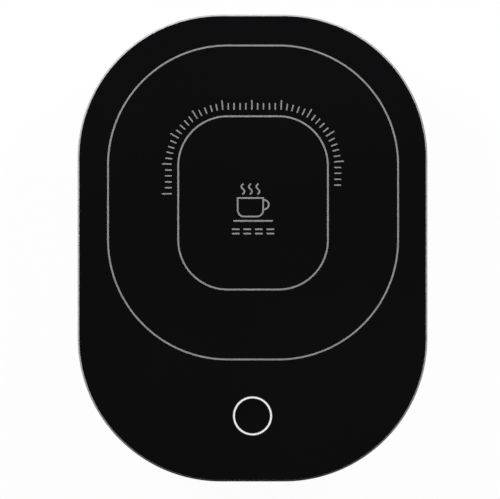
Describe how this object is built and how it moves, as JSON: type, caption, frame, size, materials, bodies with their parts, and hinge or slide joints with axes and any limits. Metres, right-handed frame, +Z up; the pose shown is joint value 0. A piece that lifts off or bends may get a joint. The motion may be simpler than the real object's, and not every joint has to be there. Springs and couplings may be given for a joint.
{
  "type": "mug warmer",
  "caption": "Flat mug warmer with a rounded black glass deck over a film heater, a flush key with a light ring at the front and an oval power socket at the back.",
  "frame": {"origin": "on the table under the middle of the glass deck", "axes": "+Z up, +Y from the key at the front to the power inlet at the back, +X to the right as seen from the front"},
  "size_m": [0.121, 0.1616, 0.022],
  "materials": {
    "black_glass": "polished black glass with a ground edge",
    "seal_rubber": "matt silicone",
    "housing_black": "fine spark-eroded texture",
    "foot_rubber": "matt",
    "screw_steel": "zinc plated",
    "key_black": "gloss",
    "light_guide": "milky light guide",
    "switch_black": "moulded",
    "plunger_black": "moulded",
    "led_yellow": "clear dome over yellow phosphor",
    "pad_grey": "soft heat-conducting sheet",
    "spreader_aluminium": "mill finish",
    "film_amber": "amber film",
    "felt_white": "needled felt",
    "clamp_steel": "galvanised sheet",
    "fuse_white": "ceramic-filled case",
    "sensor_epoxy": "epoxy bead",
    "board_green": "green solder mask",
    "chip_black": "moulded package",
    "buzzer_black": "moulded case",
    "capacitor_can": "plain can",
    "plug_white": "natural nylon",
    "inlet_steel": "nickel plated shell",
    "tongue_black": "moulded tongue with plated contacts",
    "heater_lead": "red silicone lead",
    "sensor_lead": "white silicone lead",
    "power_lead": "black silicone lead",
    "leg_tin": "tinned sheet",
    "base_black": "moulded foot of the capacitor"
  },
  "bodies": {
    "housing": {"glass_panel": "black_glass", "glass_bond": "seal_rubber", "top_frame": "housing_black", "base_tray": "housing_black", "rubber_feet": "foot_rubber", "housing_screws": "screw_steel", "key_light_ring": "light_guide", "light_ring_gasket": "seal_rubber", "switch_body": "switch_black", "ring_leds": "led_yellow", "thermal_pad": "pad_grey", "heat_spreader": "spreader_aluminium", "film_heater": "film_amber", "insulation_pad": "felt_white", "clamp_plate": "clamp_steel", "clamp_screws": "screw_steel", "thermal_fuse": "fuse_white", "heat_sensor": "sensor_epoxy", "control_board": "board_green", "board_screws": "screw_steel", "controller_chip": "chip_black", "power_transistor": "chip_black", "buzzer": "buzzer_black", "filter_capacitor": "capacitor_can", "heater_plug": "plug_white", "sensor_plug": "plug_white", "power_plug": "plug_white", "inlet_board": "board_green", "inlet_screws": "screw_steel", "inlet_shell": "inlet_steel", "inlet_tongue": "tongue_black", "inlet_plug": "plug_white", "heater_leads": "heater_lead", "sensor_leads": "sensor_lead", "power_leads": "power_lead", "switch_cover": "leg_tin", "switch_legs": "leg_tin", "chip_legs": "leg_tin", "transistor_legs": "leg_tin", "capacitor_base": "base_black", "heater_header": "plug_white", "sensor_header": "plug_white", "power_header": "plug_white", "inlet_header": "plug_white", "sensor_strap": "clamp_steel", "strap_rivets": "screw_steel"},
    "key": {"power_key": "key_black"},
    "plunger": {"switch_plunger": "plunger_black"}
  },
  "joints": [
    {"name": "key_press", "type": "slide", "parent": "housing", "child": "key", "axis": [0, 0, -1], "range_m": [0, 0.0005], "stiffness_N_per_m": 1200, "springref_m": -0.0008},
    {"name": "plunger_press", "type": "slide", "parent": "housing", "child": "plunger", "axis": [0, 0, -1], "range_m": [0, 0.0005]}
  ],
  "couplings": [
    {"joint": "plunger_press", "follows": "key_press", "ratio": 1}
  ]
}
